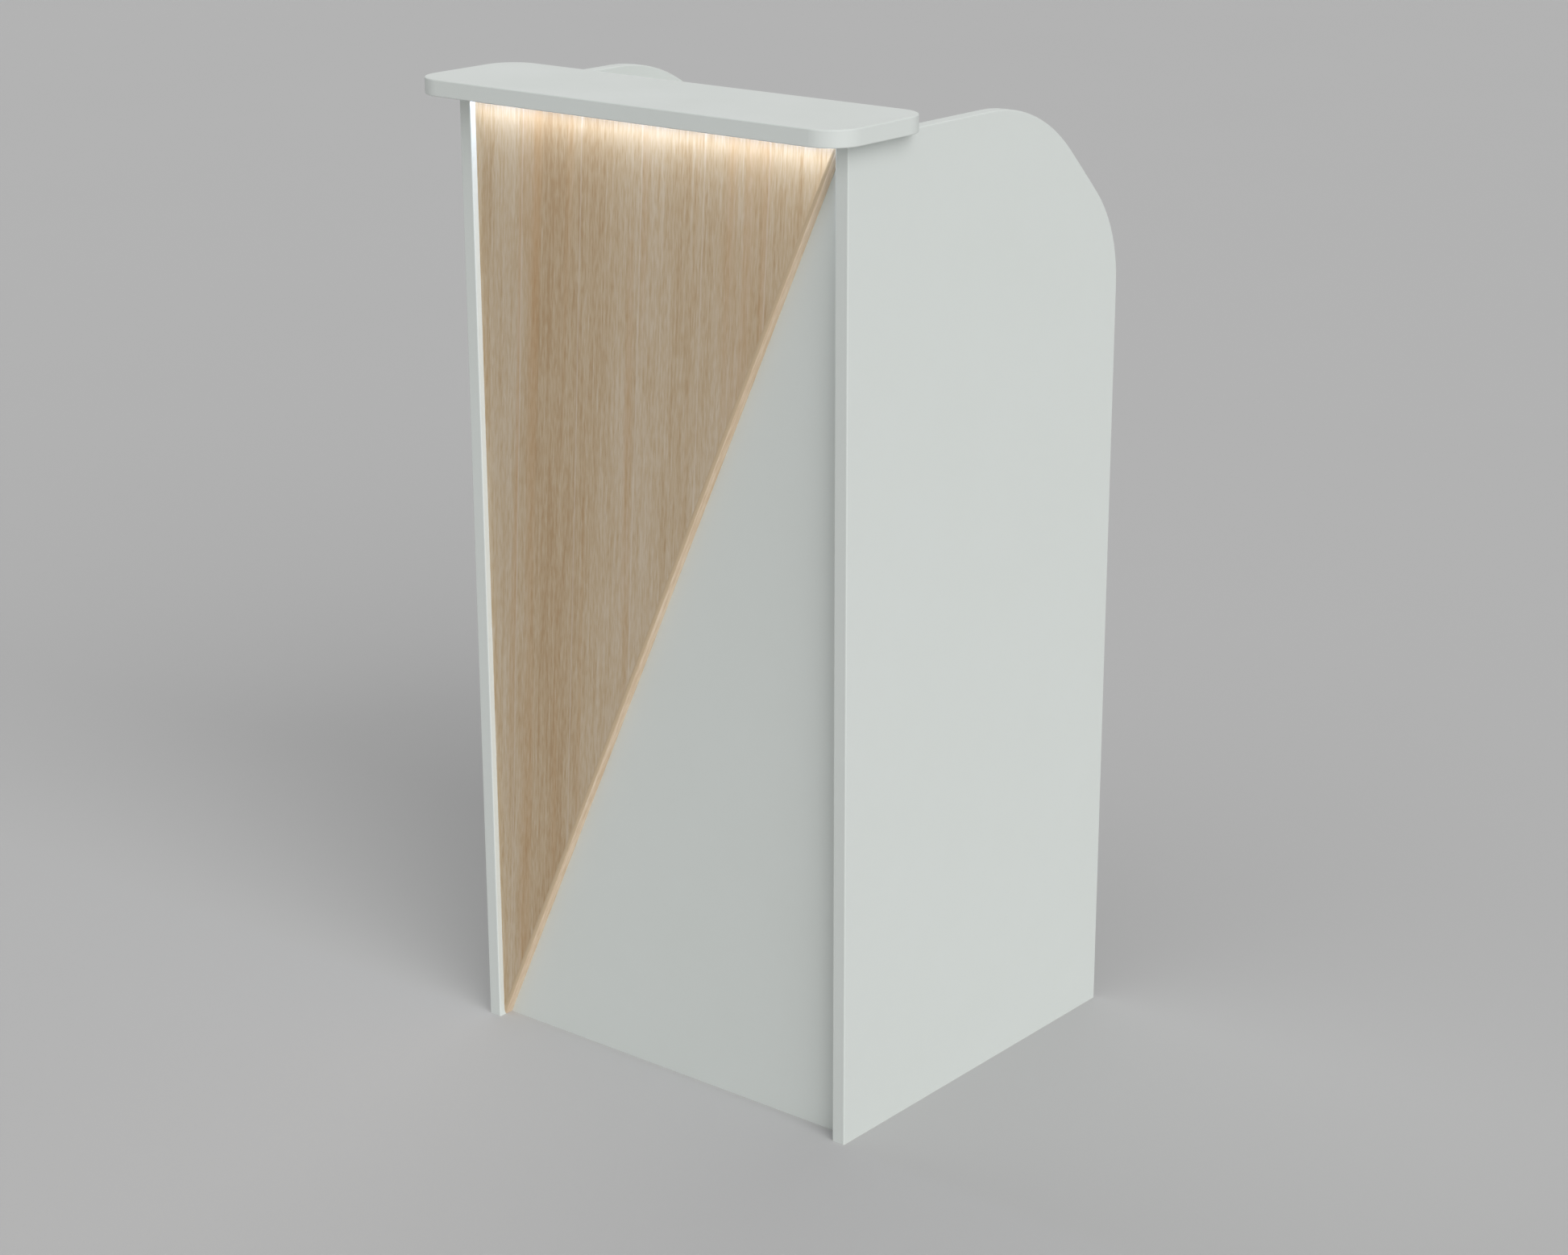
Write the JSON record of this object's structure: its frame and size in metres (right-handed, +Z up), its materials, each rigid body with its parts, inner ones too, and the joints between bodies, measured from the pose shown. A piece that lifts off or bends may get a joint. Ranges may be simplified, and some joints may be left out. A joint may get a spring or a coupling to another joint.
{
  "type": "presentation lectern",
  "caption": "Free-standing board lectern with a diagonal oak front, a lit round-cornered ledge, a sloping reading desk, shelves, a light switch and levelling feet.",
  "frame": {"origin": "on the floor, below the middle of the overall box", "axes": "+Z up, +Y towards the speaker, so the audience stands at -Y; +X to the right as the audience sees it"},
  "size_m": [0.64, 0.587, 1.22],
  "materials": {
    "pale_board": "satin lacquer",
    "oak": "matt oiled veneer with vertical grain",
    "oak_edge": "matt oiled edge band",
    "beech": "bare planed wood",
    "zinc_steel": "bright zinc plate",
    "aluminium": "satin anodised",
    "led_tape": "matt",
    "opal_diffuser": "satin opal, lit warm white",
    "black_plastic": "fine moulded texture",
    "rocker_plastic": "gloss",
    "lead_sheath": "matt"
  },
  "bodies": {
    "carcass": {"left_side_panel": "pale_board", "right_side_panel": "pale_board", "front_panel": "pale_board", "oak_facing": "oak", "oak_edge_band": "oak_edge", "top_ledge": "pale_board", "ledge_dowels": "beech", "ledge_brackets": "zinc_steel", "bracket_screws": "zinc_steel", "facing_screws": "zinc_steel", "led_profile": "aluminium", "led_tape": "led_tape", "led_diffuser": "opal_diffuser", "led_end_caps": "aluminium", "reading_desk": "pale_board", "paper_stop": "oak", "apron_rail": "pale_board", "desk_cleats": "beech", "cleat_screws": "zinc_steel", "cable_grommet": "black_plastic", "adjustable_shelf": "pale_board", "shelf_pins": "zinc_steel", "bottom_shelf": "pale_board", "plinth_board": "pale_board", "cam_locks": "zinc_steel", "cam_bolts": "zinc_steel", "led_driver": "black_plastic", "driver_screws": "zinc_steel", "inlet_pins": "zinc_steel", "led_lead": "lead_sheath", "switch_lead": "lead_sheath", "lead_clips": "black_plastic", "switch_housing": "black_plastic", "switch_terminals": "zinc_steel", "foot_brackets": "black_plastic", "foot_bracket_screws": "zinc_steel"},
    "rocker": {"switch_rocker": "rocker_plastic"},
    "grommet_cap": {"grommet_cap": "black_plastic"},
    "levelling_foot_front_left": {"levelling_foot_front_left": "black_plastic"},
    "levelling_foot_front_right": {"levelling_foot_front_right": "black_plastic"},
    "levelling_foot_rear_left": {"levelling_foot_rear_left": "black_plastic"},
    "levelling_foot_rear_right": {"levelling_foot_rear_right": "black_plastic"}
  },
  "joints": [
    {"name": "rocker_tip", "type": "hinge", "parent": "carcass", "child": "rocker", "pos_m": [0.2, 0.2275, 0.94525], "axis": [1, 0, 0], "range_deg": [-18, 0]},
    {"name": "cap_turn", "type": "hinge", "parent": "carcass", "child": "grommet_cap", "pos_m": [-0.19, -0.11644, 1.06435], "axis": [0, 0.1736, 0.9848], "continuous": true},
    {"name": "foot_front_left_screw", "type": "slide", "parent": "carcass", "child": "levelling_foot_front_left", "axis": [0, 0, -1], "range_m": [0, 0.012]},
    {"name": "foot_front_right_screw", "type": "slide", "parent": "carcass", "child": "levelling_foot_front_right", "axis": [0, 0, -1], "range_m": [0, 0.012]},
    {"name": "foot_rear_left_screw", "type": "slide", "parent": "carcass", "child": "levelling_foot_rear_left", "axis": [0, 0, -1], "range_m": [0, 0.012]},
    {"name": "foot_rear_right_screw", "type": "slide", "parent": "carcass", "child": "levelling_foot_rear_right", "axis": [0, 0, -1], "range_m": [0, 0.012]}
  ]
}
